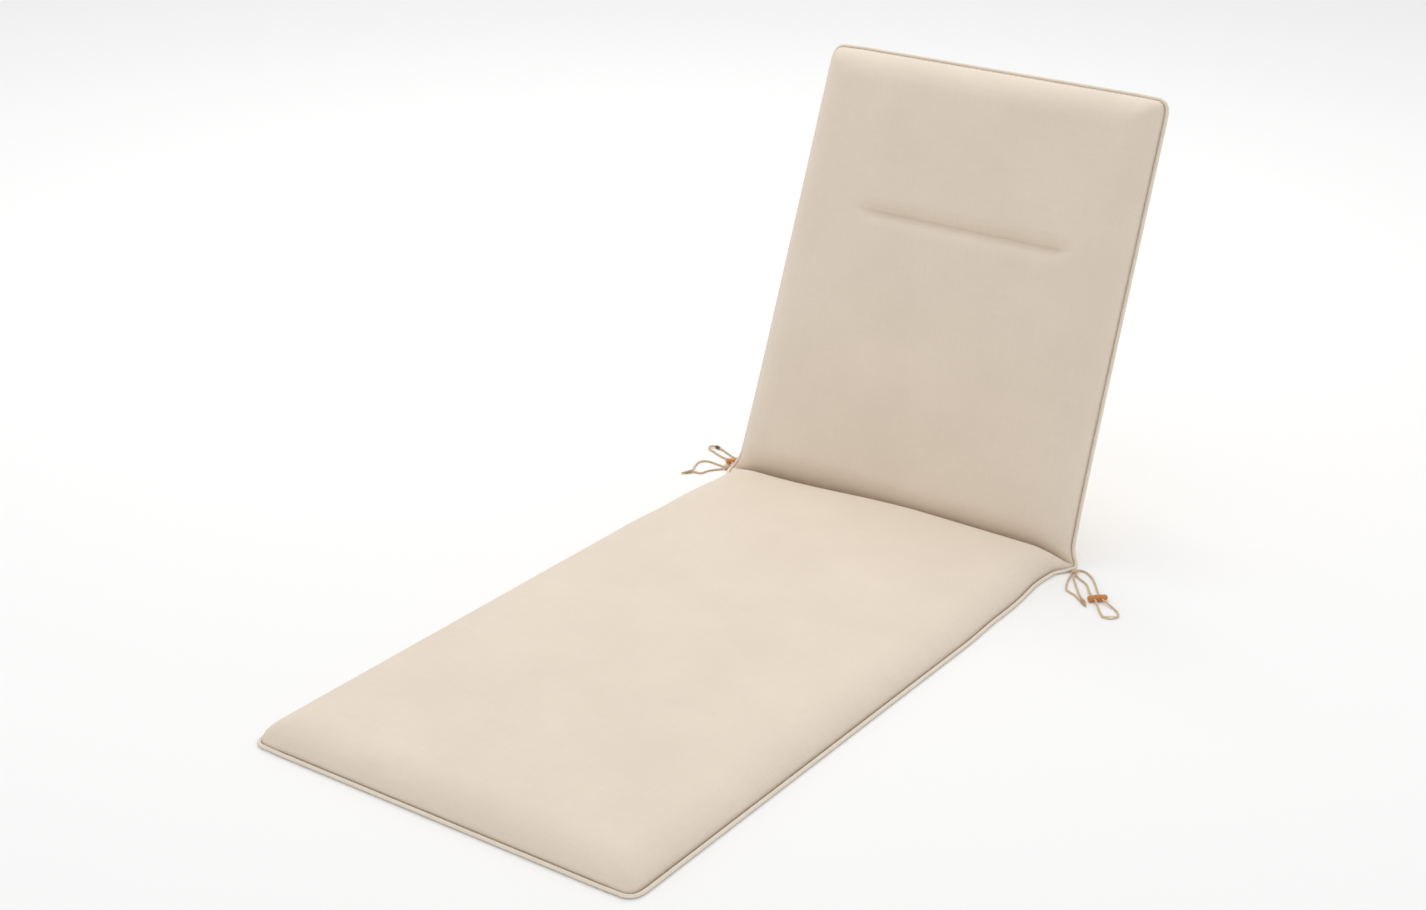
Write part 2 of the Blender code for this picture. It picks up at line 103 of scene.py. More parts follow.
# The steps of the cover's mesh: small at seams and stitch lines, larger between them
FINE_STEP = 0.0012
COARSE_STEP = 0.0068
SEAM_REACH = 0.05
CHANNEL_REACH = 0.02
COLUMN_FINE_STEP = 0.004
COLUMN_COARSE_STEP = 0.022
COLUMN_REACH = 0.16
PIPING_END_PLACES = 120
PIPING_STEP = 0.0035
CORD_STEP = 0.0015
TUBE_SIDES = 12

# Cloth and cord
WEAVE_PITCH = 0.00085
PIPING_WEAVE_PITCH = 0.0011
SLUB_ACROSS = 900.0
SLUB_ALONG = 22.0
BRAID_STRANDS = 4.0
BRAID_PITCH = 0.0042

# The studio
FLOOR_REACH = 14.0
FLOOR_TONE = 0.93
SKY_STRENGTH = 0.92

# The cords' routes, as in the CAD model
ROUTES = {
    "cord_right_plain_near": [
        (0.3162, 0.4106, 0.0024),
        (0.3196, 0.3965, 0.0017),
        (0.3240, 0.3815, 0.0017),
        (0.3292, 0.3680, 0.0017),
        (0.3345, 0.3585, 0.0017),
        (0.3425, 0.3538, 0.0017),
        (0.3512, 0.3502, 0.0017),
        (0.3585, 0.3450, 0.0018),
        (0.3634, 0.3408, 0.0021),
        (0.3683, 0.3376, 0.0023),
    ],
    "cord_right_plain_far": [
        (0.3204, 0.4110, 0.0024),
        (0.3258, 0.3990, 0.0017),
        (0.3340, 0.3868, 0.0017),
        (0.3420, 0.3755, 0.0017),
        (0.3500, 0.3645, 0.0017),
        (0.3572, 0.3548, 0.0017),
        (0.3640, 0.3470, 0.0020),
        (0.3711, 0.3401, 0.0023),
    ],
    "cord_right_toggle_loop": [
        (0.3223, 0.4142, 0.0026),
        (0.3275, 0.4078, 0.0018),
        (0.3350, 0.4021, 0.0017),
        (0.3448, 0.3965, 0.0017),
        (0.3540, 0.3875, 0.0017),
        (0.3622, 0.3755, 0.0021),
        (0.3690, 0.3648, 0.0038),
        (0.3761, 0.3564, 0.0052),
        (0.3824, 0.3500, 0.0054),
        (0.3887, 0.3436, 0.0052),
        (0.3958, 0.3352, 0.0036),
        (0.4033, 0.3255, 0.0021),
        (0.4095, 0.3180, 0.0020),
        (0.4144, 0.3118, 0.0023),
        (0.4164, 0.3101, 0.0026),
        (0.4189, 0.3092, 0.0028),
        (0.4215, 0.3094, 0.0028),
        (0.4238, 0.3107, 0.0028),
        (0.4274, 0.3135, 0.0028),
        (0.4310, 0.3162, 0.0028),
        (0.4325, 0.3178, 0.0027),
        (0.4335, 0.3198, 0.0025),
        (0.4338, 0.3220, 0.0022),
        (0.4334, 0.3245, 0.0019),
        (0.4308, 0.3315, 0.0017),
        (0.4252, 0.3380, 0.0017),
        (0.4180, 0.3432, 0.0021),
        (0.4095, 0.3470, 0.0034),
        (0.4025, 0.3502, 0.0047),
        (0.3963, 0.3531, 0.0053),
        (0.3906, 0.3581, 0.0054),
        (0.3843, 0.3645, 0.0051),
        (0.3785, 0.3730, 0.0035),
        (0.3707, 0.3851, 0.0019),
        (0.3594, 0.4017, 0.0017),
        (0.3467, 0.4175, 0.0017),
        (0.3350, 0.4270, 0.0017),
        (0.3272, 0.4302, 0.0018),
        (0.3212, 0.4286, 0.0022),
        (0.3184, 0.4244, 0.0026),
    ],
    "cord_left_plain_far": [
        (-0.3251, 0.4309, 0.0024),
        (-0.3330, 0.4333, 0.0017),
        (-0.3430, 0.4341, 0.0017),
        (-0.3520, 0.4354, 0.0017),
        (-0.3605, 0.4354, 0.0017),
        (-0.3675, 0.4318, 0.0017),
        (-0.3705, 0.4240, 0.0017),
        (-0.3690, 0.4131, 0.0017),
        (-0.3645, 0.4006, 0.0017),
        (-0.3609, 0.3933, 0.0019),
        (-0.3594, 0.3890, 0.0021),
        (-0.3597, 0.3848, 0.0023),
    ],
    "cord_left_plain_near": [
        (-0.3226, 0.4238, 0.0024),
        (-0.3288, 0.4170, 0.0018),
        (-0.3345, 0.4100, 0.0017),
        (-0.3384, 0.4025, 0.0017),
        (-0.3398, 0.3970, 0.0017),
        (-0.3402, 0.3931, 0.0017),
        (-0.3410, 0.3898, 0.0017),
        (-0.3432, 0.3873, 0.0017),
        (-0.3464, 0.3863, 0.0018),
        (-0.3500, 0.3862, 0.0019),
        (-0.3534, 0.3853, 0.0021),
        (-0.3564, 0.3831, 0.0023),
    ],
    "cord_left_toggle_loop": [
        (-0.3214, 0.4352, 0.0030),
        (-0.3203, 0.4382, 0.0030),
        (-0.3193, 0.4409, 0.0033),
        (-0.3189, 0.4435, 0.0039),
        (-0.3195, 0.4460, 0.0046),
        (-0.3211, 0.4477, 0.0052),
        (-0.3257, 0.4516, 0.0054),
        (-0.3307, 0.4558, 0.0051),
        (-0.3380, 0.4597, 0.0032),
        (-0.3460, 0.4623, 0.0019),
        (-0.3550, 0.4650, 0.0017),
        (-0.3640, 0.4686, 0.0017),
        (-0.3730, 0.4726, 0.0017),
        (-0.3820, 0.4766, 0.0018),
        (-0.3866, 0.4785, 0.0019),
        (-0.3895, 0.4802, 0.0021),
        (-0.3917, 0.4824, 0.0023),
        (-0.3927, 0.4853, 0.0025),
        (-0.3921, 0.4884, 0.0027),
        (-0.3903, 0.4910, 0.0028),
        (-0.3877, 0.4924, 0.0028),
        (-0.3845, 0.4926, 0.0028),
        (-0.3796, 0.4915, 0.0028),
        (-0.3747, 0.4904, 0.0027),
        (-0.3666, 0.4880, 0.0021),
        (-0.3550, 0.4828, 0.0017),
        (-0.3420, 0.4765, 0.0018),
        (-0.3310, 0.4700, 0.0033),
        (-0.3233, 0.4646, 0.0051),
        (-0.3183, 0.4604, 0.0054),
        (-0.3137, 0.4565, 0.0053),
        (-0.3119, 0.4544, 0.0051),
        (-0.3112, 0.4518, 0.0049),
        (-0.3117, 0.4490, 0.0047),
        (-0.3145, 0.4422, 0.0045),
        (-0.3176, 0.4352, 0.0045),
    ],
}


def make_camera():
    forward = Vector(
        (
            math.sin(CAMERA_YAW) * math.cos(CAMERA_PITCH),
            math.cos(CAMERA_YAW) * math.cos(CAMERA_PITCH),
            -math.sin(CAMERA_PITCH),
        )
    )
    level = Vector((math.cos(CAMERA_YAW), -math.sin(CAMERA_YAW), 0.0))
    upright = level.cross(forward)
    right = level * math.cos(CAMERA_ROLL) + upright * math.sin(CAMERA_ROLL)
    up = upright * math.cos(CAMERA_ROLL) - level * math.sin(CAMERA_ROLL)
    data = bpy.data.cameras.new("camera")
    data.sensor_width = 36.0
    data.lens = CAMERA_LENS
    data.clip_start = 0.05
    data.clip_end = 60.0
    camera = bpy.data.objects.new("camera", data)
    bpy.context.scene.collection.objects.link(camera)
    turn = Matrix((right, up, -forward)).transposed().to_4x4()
    camera.matrix_world = Matrix.Translation(CAMERA_PLACE) @ turn
    bpy.context.scene.camera = camera


def add_object(name, data):
    obj = bpy.data.objects.new(name, data)
    bpy.context.scene.collection.objects.link(obj)
    return obj


def area_light(name, place, target, size, power, color):
    data = bpy.data.lights.new(name, "AREA")
    data.shape = "DISK"
    data.size = size
    data.energy = power
    data.color = color
    light = add_object(name, data)
    light.location = place
    light.rotation_euler = (Vector(target) - Vector(place)).to_track_quat("-Z", "Y").to_euler()


def make_studio():
    mesh = bpy.data.meshes.new("floor")
    turns = ((-1, -1), (1, -1), (1, 1), (-1, 1))
    corners = [(x * FLOOR_REACH, y * FLOOR_REACH, 0.0) for x, y in turns]
    mesh.from_pydata(corners, [], [(0, 1, 2, 3)])
    floor = add_object("floor", mesh)
    surface = bpy.data.materials.new("floor")
    surface.use_nodes = True
    shader = surface.node_tree.nodes["Principled BSDF"]
    shader.inputs["Base Color"].default_value = (FLOOR_TONE, FLOOR_TONE, FLOOR_TONE, 1.0)
    shader.inputs["Roughness"].default_value = 0.9
    shader.inputs["Specular IOR Level"].default_value = 0.0
    mesh.materials.append(surface)
    world = bpy.data.worlds.new("studio")
    world.use_nodes = True
    tree = world.node_tree
    backdrop = tree.nodes["Background"]
    backdrop.inputs["Strength"].default_value = SKY_STRENGTH
    direction = tree.nodes.new("ShaderNodeTexCoord")
    parts = tree.nodes.new("ShaderNodeSeparateXYZ")
    ramp = tree.nodes.new("ShaderNodeValToRGB")
    ramp.color_ramp.elements[0].position = 0.0
    ramp.color_ramp.elements[0].color = (0.62, 0.62, 0.63, 1.0)
    ramp.color_ramp.elements[1].position = 0.7
    ramp.color_ramp.elements[1].color = (1.0, 1.0, 1.0, 1.0)
    tree.links.new(direction.outputs["Generated"], parts.inputs[0])
    tree.links.new(parts.outputs[2], ramp.inputs[0])
    tree.links.new(ramp.outputs[0], backdrop.inputs["Color"])
    bpy.context.scene.world = world
    bpy.context.scene.view_settings.view_transform = "Standard"
    area_light("key", (-1.2, 1.6, 3.4), (0.0, 0.0, 0.1), 2.4, 40.0, (1.0, 0.99, 0.97))


# Cords


def smooth_route(route, step):
    """Points about step apart on the smooth curve through a route's own points."""
    given = [Vector(p) for p in route]
    given = [given[0] * 2.0 - given[1]] + given + [given[-1] * 2.0 - given[-2]]
    fine = []
    for a, b, c, d in zip(given, given[1:], given[2:], given[3:]):
        for k in range(16):
            t = k / 16.0
            bulge = a * -1.0 + b * 3.0 - c * 3.0 + d
            sweep = a * 2.0 - b * 5.0 + c * 4.0 - d
            fine.append(b + ((c - a) * t + sweep * t * t + bulge * t * t * t) * 0.5)
    fine.append(given[-2])
    lengths = [0.0]
    for p, q in zip(fine, fine[1:]):
        lengths.append(lengths[-1] + (q - p).length)
    count = max(2, round(lengths[-1] / step))
    places = np.linspace(0.0, lengths[-1], count + 1)
    points = [Vector([np.interp(at, lengths, [p[i] for p in fine]) for i in range(3)]) for at in places]
    return points, lengths[-1]


def tube_mesh(name, points, radius, sides, closed=False):
    """A tube along points with a UV map: u runs round it and v along it, both in metres."""
    count = len(points)
    along = []
    for i in range(count):
        if closed:
            step = points[(i + 1) % count] - points[i - 1]
        else:
            step = points[min(i + 1, count - 1)] - points[max(i - 1, 0)]
        along.append(step.normalized())
    up = Vector((0.0, 0.0, 1.0))
    side = along[0].cross(up)
    if side.length < 0.2:
        side = along[0].cross(Vector((1.0, 0.0, 0.0)))
    side.normalize()
    frames = []
    for direction in along:
        side = (side - direction * side.dot(direction)).normalized()
        frames.append((side.copy(), direction.cross(side).normalized()))
    if closed:
        last, _ = frames[-1]
        carried = (last - along[0] * last.dot(along[0])).normalized()
        first, other = frames[0]
        twist = math.atan2(carried.dot(other), carried.dot(first))
    else:
        twist = 0.0
    bm = bmesh.new()
    rings = []
    travelled = [0.0]
    for i in range(1, count + 1):
        travelled.append(travelled[-1] + (points[i % count] - points[i - 1]).length)
    for i, (point, (a, b)) in enumerate(zip(points, frames)):
        ring = []
        shift = -twist * i / count
        for k in range(sides):
            turn = 2.0 * math.pi * k / sides + shift
            spoke = a * (radius * math.cos(turn)) + b * (radius * math.sin(turn))
            ring.append(bm.verts.new(point + spoke))
        rings.append(ring)
    layer = bm.loops.layers.uv.new("weave")
    girth = 2.0 * math.pi * radius
    for i in range(count if closed else count - 1):
        for k in range(sides):
            j = (k + 1) % sides
            following = rings[(i + 1) % count]
            face = bm.faces.new((rings[i][k], rings[i][j], following[j], following[k]))
            face.smooth = True
            u0, u1 = k / sides * girth, (k + 1) / sides * girth
            v0, v1 = travelled[i], travelled[i + 1]
            for loop, spot in zip(face.loops, ((u0, v0), (u1, v0), (u1, v1), (u0, v1))):
                loop[layer].uv = spot
    if not closed:
        for ring, flip in ((rings[0], True), (rings[-1], False)):
            face = bm.faces.new(ring[::-1] if flip else ring)
            for loop in face.loops:
                loop[layer].uv = (0.0, 0.0)
    mesh = bpy.data.meshes.new(name)
    bm.to_mesh(mesh)
    bm.free()
    return mesh


# Node helpers


class Nodes:
    """Short calls for building one material's nodes."""

    def __init__(self, name):
        self.material = bpy.data.materials.new(name)
        self.material.use_nodes = True
        self.tree = self.material.node_tree
        self.shader = self.tree.nodes["Principled BSDF"]

    def link(self, source, target):
        self.tree.links.new(source, target)

    def plug(self, node, index, value):
        if isinstance(value, (int, float)):
            node.inputs[index].default_value = value
        else:
            self.link(value, node.inputs[index])

    def math(self, operation, a, b=None):
        node = self.tree.nodes.new("ShaderNodeMath")
        node.operation = operation
        self.plug(node, 0, a)
        if b is not None:
            self.plug(node, 1, b)
        return node.outputs[0]

    def uv(self, name):
        node = self.tree.nodes.new("ShaderNodeUVMap")
        node.uv_map = name
        parts = self.tree.nodes.new("ShaderNodeSeparateXYZ")
        self.link(node.outputs[0], parts.inputs[0])
        return parts.outputs[0], parts.outputs[1]

    def place(self):
        node = self.tree.nodes.new("ShaderNodeTexCoord")
        return node.outputs["Object"]

    def combine(self, x, y, z=0.0):
        node = self.tree.nodes.new("ShaderNodeCombineXYZ")
        self.plug(node, 0, x)
        self.plug(node, 1, y)
        self.plug(node, 2, z)
        return node.outputs[0]

    def noise(self, vector, scale, detail=2.0, roughness=0.5):
        node = self.tree.nodes.new("ShaderNodeTexNoise")
        self.link(vector, node.inputs["Vector"])
        node.inputs["Scale"].default_value = scale
        node.inputs["Detail"].default_value = detail
        node.inputs["Roughness"].default_value = roughness
        return node.outputs[0]

    def ramp(self, factor, stops):
        node = self.tree.nodes.new("ShaderNodeValToRGB")
        self.link(factor, node.inputs[0])
        elements = node.color_ramp.elements
        while len(elements) < len(stops):
            elements.new(0.5)
        for element, (at, color) in zip(elements, stops):
            element.position = at
            element.color = (*color, 1.0)
        return node.outputs[0]

    def mix(self, factor, a, b, blend="MIX"):
        node = self.tree.nodes.new("ShaderNodeMix")
        node.data_type = "RGBA"
        node.blend_type = blend
        self.plug(node, 0, factor)
        for index, value in ((6, a), (7, b)):
            if isinstance(value, tuple):
                node.inputs[index].default_value = (*value, 1.0)
            else:
                self.link(value, node.inputs[index])
        return node.outputs[2]

    def bump(self, height, distance, strength=1.0, normal=None):
        node = self.tree.nodes.new("ShaderNodeBump")
        node.inputs["Strength"].default_value = strength
        node.inputs["Distance"].default_value = distance
        self.link(height, node.inputs["Height"])
        if normal is not None:
            self.link(normal, node.inputs["Normal"])
        return node.outputs[0]


def weave_height(n, u, v, pitch):
    """Plain weave: the warp and the weft pass over and under each other."""
    across = n.math("MULTIPLY", u, math.pi / pitch)
    along = n.math("MULTIPLY", v, math.pi / pitch)
    warp = n.math("ABSOLUTE", n.math("SINE", across))
    weft = n.math("ABSOLUTE", n.math("SINE", along))
    side = n.math("MULTIPLY", n.math("SINE", across), n.math("SINE", along))
    over = n.math("GREATER_THAN", side, 0.0)
    under = n.math("SUBTRACT", 1.0, over)
    return n.math("ADD", n.math("MULTIPLY", warp, over), n.math("MULTIPLY", weft, under))


def cover_material():
    n = Nodes("cover_cloth")
    u, v = n.uv("panel")
    flat = n.combine(u, v)
    weave = weave_height(n, u, v, WEAVE_PITCH)
    warp_place = n.combine(n.math("MULTIPLY", u, SLUB_ACROSS), n.math("MULTIPLY", v, SLUB_ALONG))
    weft_place = n.combine(n.math("MULTIPLY", u, SLUB_ALONG), n.math("MULTIPLY", v, SLUB_ACROSS))
    slub = n.math("ADD", n.noise(warp_place, 1.0), n.noise(weft_place, 1.0))
    mottle = n.noise(flat, 7.0, 3.0)
    tone = n.ramp(mottle, [(0.3, (0.795, 0.690, 0.573)), (0.7, (0.835, 0.728, 0.607))])
    mean_slub = n.math("MULTIPLY", slub, 0.5)
    thread = n.ramp(mean_slub, [(0.36, (0.955, 0.95, 0.94)), (0.64, (1.0, 1.0, 1.0))])
    color = n.mix(1.0, tone, thread, "MULTIPLY")
    n.link(color, n.shader.inputs["Base Color"])
    n.shader.inputs["Roughness"].default_value = 0.88
    n.shader.inputs["Specular IOR Level"].default_value = 0.25
    n.shader.inputs["Sheen Weight"].default_value = 0.18
    n.shader.inputs["Sheen Roughness"].default_value = 0.5
    coarse = n.bump(n.noise(flat, 38.0, 3.0), 0.0009, 1.0)
    threads = n.math("ADD", n.math("MULTIPLY", weave, 0.6), n.math("MULTIPLY", slub, 0.4))
    n.link(n.bump(threads, 0.00016, 0.8, coarse), n.shader.inputs["Normal"])
    return n.material


def piping_material():
    n = Nodes("piping_cloth")
    u, v = n.uv("weave")
    slant_a = n.math("ADD", u, v)
    slant_b = n.math("SUBTRACT", u, v)
    weave = weave_height(n, slant_a, slant_b, PIPING_WEAVE_PITCH)
    mottle = n.noise(n.combine(u, v), 60.0, 3.0)
    tone = n.ramp(mottle, [(0.3, (0.83, 0.735, 0.61)), (0.7, (0.88, 0.79, 0.665))])
    n.link(tone, n.shader.inputs["Base Color"])
    n.shader.inputs["Roughness"].default_value = 0.85
    n.shader.inputs["Specular IOR Level"].default_value = 0.25
    n.shader.inputs["Sheen Weight"].default_value = 0.15
    n.link(n.bump(weave, 0.00015, 0.7), n.shader.inputs["Normal"])
    return n.material


def cord_material():
    """Braided cord: strands cross each other in two slanting directions, with painted shade in the
    grooves between them.
    """
    n = Nodes("braided_cord")
    u, v = n.uv("weave")
    girth = 2.0 * math.pi * CORD_RADIUS
    around = n.math("MULTIPLY", u, 2.0 * math.pi * BRAID_STRANDS / girth)
    along = n.math("MULTIPLY", v, 2.0 * math.pi / BRAID_PITCH)
    left = n.math("SINE", n.math("ADD", around, along))
    right = n.math("SINE", n.math("SUBTRACT", around, along))
    braid = n.math("MAXIMUM", left, right)
    raised = n.math("MULTIPLY", n.math("ADD", braid, 1.0), 0.5)
    # Painted shade: the ramp colours the grooves between the braid's strands darker brown and their
    # raised crowns lighter tan.
    tone = n.ramp(raised, [(0.15, (0.42, 0.27, 0.13)), (0.75, (0.76, 0.60, 0.40))])
    n.link(tone, n.shader.inputs["Base Color"])
    n.shader.inputs["Roughness"].default_value = 0.75
    n.shader.inputs["Sheen Weight"].default_value = 0.2
    n.link(n.bump(braid, 0.00025, 0.9), n.shader.inputs["Normal"])
    return n.material


def wood_material(degrees):
    """Lacquered wood with grain along the toggle."""
    n = Nodes("lacquered_wood")
    mapping = n.tree.nodes.new("ShaderNodeMapping")
    mapping.inputs["Rotation"].default_value = (0.0, 0.0, -math.radians(degrees))
    n.link(n.place(), mapping.inputs["Vector"])
    parts = n.tree.nodes.new("ShaderNodeSeparateXYZ")
    n.link(mapping.outputs[0], parts.inputs[0])
    scaled = [n.math("MULTIPLY", part, by) for part, by in zip(parts.outputs, (60.0, 1400.0, 1400.0))]
    grain = n.noise(n.combine(*scaled), 1.0, 4.0)
    stops = [(0.3, (0.38, 0.11, 0.012)), (0.55, (0.62, 0.23, 0.03)), (0.8, (0.74, 0.33, 0.06))]
    n.link(n.ramp(grain, stops), n.shader.inputs["Base Color"])
    n.shader.inputs["Roughness"].default_value = 0.28
    n.shader.inputs["Coat Weight"].default_value = 0.6
    n.shader.inputs["Coat Roughness"].default_value = 0.12
    n.link(n.bump(grain, 0.00008, 0.5), n.shader.inputs["Normal"])
    return n.material


def end_material(name, dark, light):
    n = Nodes(name)
    spots = n.noise(n.place(), 900.0, 3.0)
    n.link(n.ramp(spots, [(0.3, dark), (0.7, light)]), n.shader.inputs["Base Color"])
    n.shader.inputs["Roughness"].default_value = 0.5
    n.link(n.bump(spots, 0.0002, 0.5), n.shader.inputs["Normal"])
    return n.material


# The panel's shape, with numpy arrays for x and s


def smoothstep(t):
    t = np.clip(t, 0.0, 1.0)
    return t * t * (3.0 - 2.0 * t)


def half_width(s):
    d = s - SEAT_LENGTH
    seat = SEAT_HALF_WIDTH - NARROWING * smoothstep((s - NARROWING_START) / NARROWING_LENGTH)
    seat = seat - DRAW_IN * np.exp(-(((d + DRAW_IN_FROM_FOLD) / DRAW_IN_WIDTH) ** 2))
    ear = np.clip(1.0 - (d / SEAT_EAR_REACH) ** 2, 0.0, 1.0) ** 2
    seat = seat + (FOLD_HALF_WIDTH - seat) * ear
    back = BACK_HALF_WIDTH - BACK_TAPER * d / BACK_LENGTH
    back = back + BACK_FOOT_SPREAD * np.exp(-np.maximum(d, 0.0) / BACK_FOOT_SPREAD_LENGTH)
    ear = np.clip(1.0 - d / BACK_EAR_REACH, 0.0, 1.0) ** 2
    back = back + (FOLD_HALF_WIDTH - back) * ear
    return np.where(d <= 0.0, seat, back)


def end_distance(s):
    return np.minimum(s, FLAT_LENGTH - s)


def row_half_width(s):
    reach = np.clip(1.0 - end_distance(s) / SHOULDER_INSET, 0.0, 1.0)
    spare = (1.0 - reach**CORNER_POWER) ** (1.0 / CORNER_POWER)
    return half_width(s) - SHOULDER_INSET * (1.0 - spare)


def seam_level(s):
    near = np.clip(1.0 - np.abs(s - SEAT_LENGTH) / FOLD_LEVEL_REACH, 0.0, 1.0)
    return SEAM_LEVEL + (FOLD_LEVEL - SEAM_LEVEL) * near**2


def shoulder(x, s):
    side = np.clip(1.0 - (half_width(s) - np.abs(x)) / SHOULDER_INSET, 0.0, 1.0)
    end = np.clip(1.0 - end_distance(s) / SHOULDER_INSET, 0.0, 1.0)
    out = (side**CORNER_POWER + end**CORNER_POWER) ** (1.0 / CORNER_POWER)
    return np.sqrt(np.clip(1.0 - np.minimum(out, 1.0) ** 2, 0.0, 1.0))


def fold_roll(x, s):
    d = s - SEAT_LENGTH
    slack = smoothstep((SEAT_ROLL_FROM - x) / (SEAT_ROLL_FROM - SEAT_ROLL_TO))
    seat_reach = SEAT_ROLL_RIGHT + (SEAT_ROLL_LEFT - SEAT_ROLL_RIGHT) * slack
    reach = np.where(d <= 0.0, seat_reach, BACK_ROLL)
    return 1.0 - np.clip(1.0 - np.abs(d) / reach, 0.0, 1.0) ** 2


def crown(x, s):
    across = 1.0 - (x / half_width(s)) ** 2
    along = np.where(s <= SEAT_LENGTH, s / SEAT_LENGTH, (s - SEAT_LENGTH) / BACK_LENGTH)
    lengthways = np.clip(4.0 * along * (1.0 - along), 0.0, 1.0)
    uneven = 0.12 * np.sin(9.0 * x + 7.0 * s) + 0.08 * np.sin(17.0 * x - 11.0 * s + 1.0)
    return CROWN * np.clip(across, 0.0, 1.0) * lengthways**0.5 * (1.0 + uneven)


def channel(x, s):
    inside = np.minimum(x - CHANNEL_LEFT, CHANNEL_RIGHT - x)
    along = smoothstep(0.5 + inside / CHANNEL_END)
    across = np.clip(1.0 - np.abs(s - CHANNEL_S) / CHANNEL_HALF_WIDTH, 0.0, 1.0) ** CHANNEL_SHARPNESS
    return along * across


def top_level(x, s):
    height = shoulder(x, s) * fold_roll(x, s)
    level = seam_level(s) + (SHOULDER_LEVEL - seam_level(s)) * height + crown(x, s) * height
    return level - CHANNEL_DEPTH * channel(x, s)


def underside_level(x, s):
    inside = np.minimum(row_half_width(s) - np.abs(x), end_distance(s))
    edge = np.clip(1.0 - inside / UNDERSIDE_INSET, 0.0, 1.0) ** 2
    fold = np.clip(1.0 - np.abs(s - SEAT_LENGTH) / FOLD_UNDERSIDE_REACH, 0.0, 1.0) ** 2
    level = FOLD_UNDERSIDE * fold
    level = level + (seam_level(s) - level) * edge
    return level + CHANNEL_REAR_DEPTH * channel(x, s)


def bend(x, s, n, reach):
    """Panel points (x, s, n) with the back folded up about the line x along, FOLD_LEVEL up."""
    d = s - SEAT_LENGTH
    angle = BACK_ANGLE * np.clip(0.5 + 0.5 * d / reach, 0.0, 1.0)
    rise = n - FOLD_LEVEL
    y = FOLD_Y + d * np.cos(angle) - rise * np.sin(angle)
    z = FOLD_LEVEL + d * np.sin(angle) + rise * np.cos(angle)
    return np.stack([np.broadcast_to(x, y.shape), y, z], axis=-1)


def spaced(start, stop, fine, coarse, reach_start, reach_stop):
    """Places from start to stop: fine steps at both ends that grow to coarse ones between them."""
    places = [start]
    while places[-1] < stop:
        at = places[-1]
        near = min((at - start) / reach_start, (stop - at) / reach_stop, 1.0)
        places.append(at + fine + (coarse - fine) * max(0.0, near) ** 0.8)
    places = np.array(places)
    return start + (places - start) * (stop - start) / (places[-1] - start)


def panel_rows():
    seat = spaced(0.0, SEAT_LENGTH, FINE_STEP, COARSE_STEP, SEAM_REACH, SEAM_REACH)
    low = spaced(SEAT_LENGTH, CHANNEL_S, FINE_STEP, COARSE_STEP, SEAM_REACH, CHANNEL_REACH)
    high = spaced(CHANNEL_S, FLAT_LENGTH, FINE_STEP, COARSE_STEP, CHANNEL_REACH, SEAM_REACH)
    return np.concatenate([seat, low[1:], high[1:]])


def panel_columns():
    """Places across the panel, from -1 at its left seam to 1 at its right one."""
    side = spaced(0.0, 1.0, COLUMN_FINE_STEP, COLUMN_COARSE_STEP, COLUMN_REACH, COLUMN_REACH)
    return side * 2.0 - 1.0


def build_cushion(surface):
    rows = panel_rows()
    columns = panel_columns()
    s = np.repeat(rows[:, None], len(columns), axis=1)
    x = columns[None, :] * row_half_width(rows)[:, None]
    seam = seam_level(s)
    edge = np.zeros(s.shape, dtype=bool)
    edge[0, :] = edge[-1, :] = edge[:, 0] = edge[:, -1] = True
    top = bend(x, s, np.where(edge, seam, top_level(x, s)), TOP_BEND_REACH)
    under = bend(x, s, underside_level(x, s), BEND_REACH)
    under[..., 2] = np.maximum(under[..., 2], 0.0)
    seam_points = bend(x, s, seam, BEND_REACH)
    top[edge] = seam_points[edge]
    count = s.size
    number_top = np.arange(count).reshape(s.shape)
    number_under = number_top.copy()
    inner = ~edge
    number_under[inner] = count + np.arange(int(inner.sum()))
    points = np.concatenate([top.reshape(-1, 3), under[inner]])
    places = np.stack([x, s], axis=-1)
    flat = np.concatenate([places.reshape(-1, 2), places[inner]])

    def quads(numbers, flip):
        a = numbers[:-1, :-1].ravel()
        b = numbers[:-1, 1:].ravel()
        c = numbers[1:, 1:].ravel()
        d = numbers[1:, :-1].ravel()
        order = [d, c, b, a] if flip else [a, b, c, d]
        return np.stack(order, axis=-1)

    faces = np.concatenate([quads(number_top, False), quads(number_under, True)])
    mesh = bpy.data.meshes.new("cushion_cover")
    mesh.from_pydata(points.tolist(), [], faces.tolist())
    mesh.shade_smooth()
    layer = mesh.uv_layers.new(name="panel")
    layer.data.foreach_set("uv", flat[faces.ravel()].astype(np.float32).ravel())
    mesh.materials.append(surface)
    obj = add_object("cushion_cover", mesh)
    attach(obj, "root")
    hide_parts("cushion")


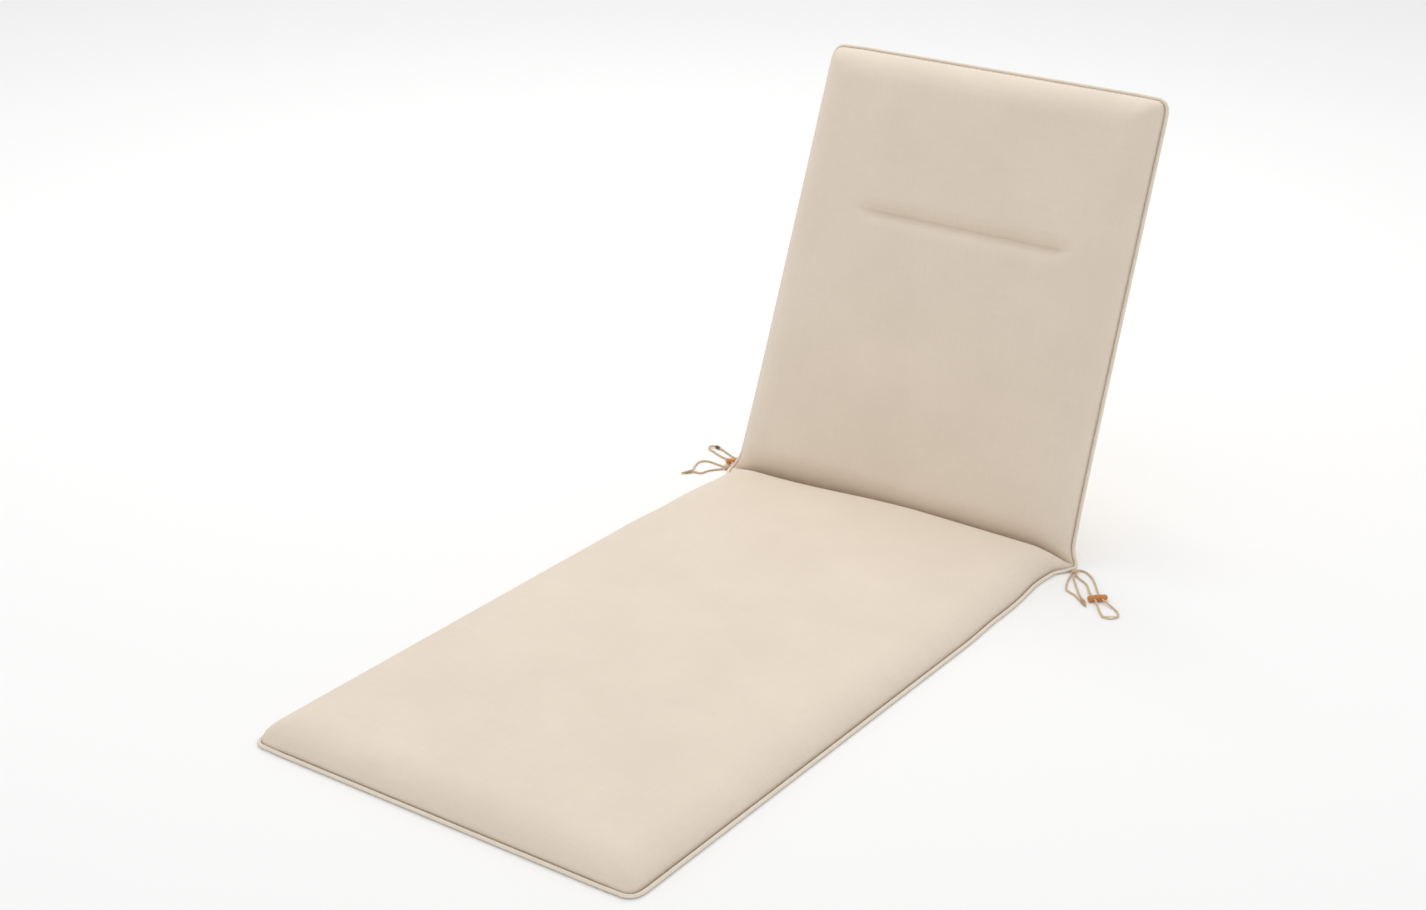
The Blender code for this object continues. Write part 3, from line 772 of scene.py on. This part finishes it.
def build_piping(surface):
    """The covered cord all round the seam."""
    rows = panel_rows()
    right = np.stack([row_half_width(rows), rows], axis=-1)
    half_foot = row_half_width(rows[:1])[0]
    across = np.linspace(-half_foot, half_foot, PIPING_END_PLACES)
    half_head = row_half_width(rows[-1:])[0]
    foot = np.stack([across, np.full_like(across, rows[0])], axis=-1)
    back_across = np.linspace(half_head, -half_head, PIPING_END_PLACES)
    head = np.stack([back_across, np.full_like(back_across, rows[-1])], axis=-1)
    left = right[::-1] * np.array([-1.0, 1.0])
    line = np.concatenate([foot, right[1:-1], head, left[1:-1]])
    kept = [line[0]]
    for point in line[1:]:
        if np.linalg.norm(point - kept[-1]) >= PIPING_STEP:
            kept.append(point)
    line = np.array(kept)
    before = np.roll(line, 1, axis=0)
    after = np.roll(line, -1, axis=0)
    arriving = (line - before) / np.linalg.norm(line - before, axis=1)[:, None]
    leaving = (after - line) / np.linalg.norm(after - line, axis=1)[:, None]
    along = arriving + leaving
    along = along / np.linalg.norm(along, axis=1)[:, None]
    outward = np.stack([along[:, 1], -along[:, 0]], axis=-1)
    centre = line + outward * (PIPING_RADIUS + PIPING_GAP)
    placed = bend(centre[:, 0], centre[:, 1], seam_level(line[:, 1]), BEND_REACH)
    points = [Vector(p) for p in placed]
    mesh = tube_mesh("piping_cord", points, PIPING_RADIUS, TUBE_SIDES, closed=True)
    mesh.materials.append(surface)
    obj = add_object("piping_cord", mesh)
    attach(obj, "root")
    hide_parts("piping")


def build_cords(surface):
    for name, route in ROUTES.items():
        points, length = smooth_route(route, CORD_STEP)
        mesh = tube_mesh(name + "_braid", points, CORD_RADIUS, TUBE_SIDES)
        mesh.materials.append(surface)
        obj = add_object(name + "_braid", mesh)
        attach(obj, "root")
        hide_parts(name)


def main():
    make_camera()
    make_studio()
    cord = cord_material()
    build_cords(cord)
    build_piping(piping_material())
    build_cushion(cover_material())
    # The tie tips' darker brown is partly the tip's own colour and partly painted shade between the
    # pinched strands at the loop's end.
    tip = end_material("tie_tip", (0.33, 0.20, 0.09), (0.55, 0.38, 0.20))
    pale = end_material("pale_sleeve", (0.72, 0.62, 0.46), (0.85, 0.77, 0.62))
    # Painted shade: the left loop's sleeve is the same sleeve as the pale right one, coloured
    # near-black where it is seen end-on in shadow.
    dark = end_material("sleeve_painted_shade", (0.08, 0.05, 0.03), (0.20, 0.13, 0.08))
    looks = {
        "tie_root_right": cord,
        "tie_root_left": cord,
        "tie_tip_right": tip,
        "tie_tip_left": tip,
        "loop_sleeve_right": pale,
        # The left sleeve gets the near-black painted shade colour, the right one its own pale colour.
        "loop_sleeve_left": dark,
        "toggle_right": wood_material(RIGHT_TOGGLE_DEGREES),
        "toggle_left": wood_material(LEFT_TOGGLE_DEGREES),
    }
    for name, surface in looks.items():
        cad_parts[name].material_slots[0].material = surface


main()
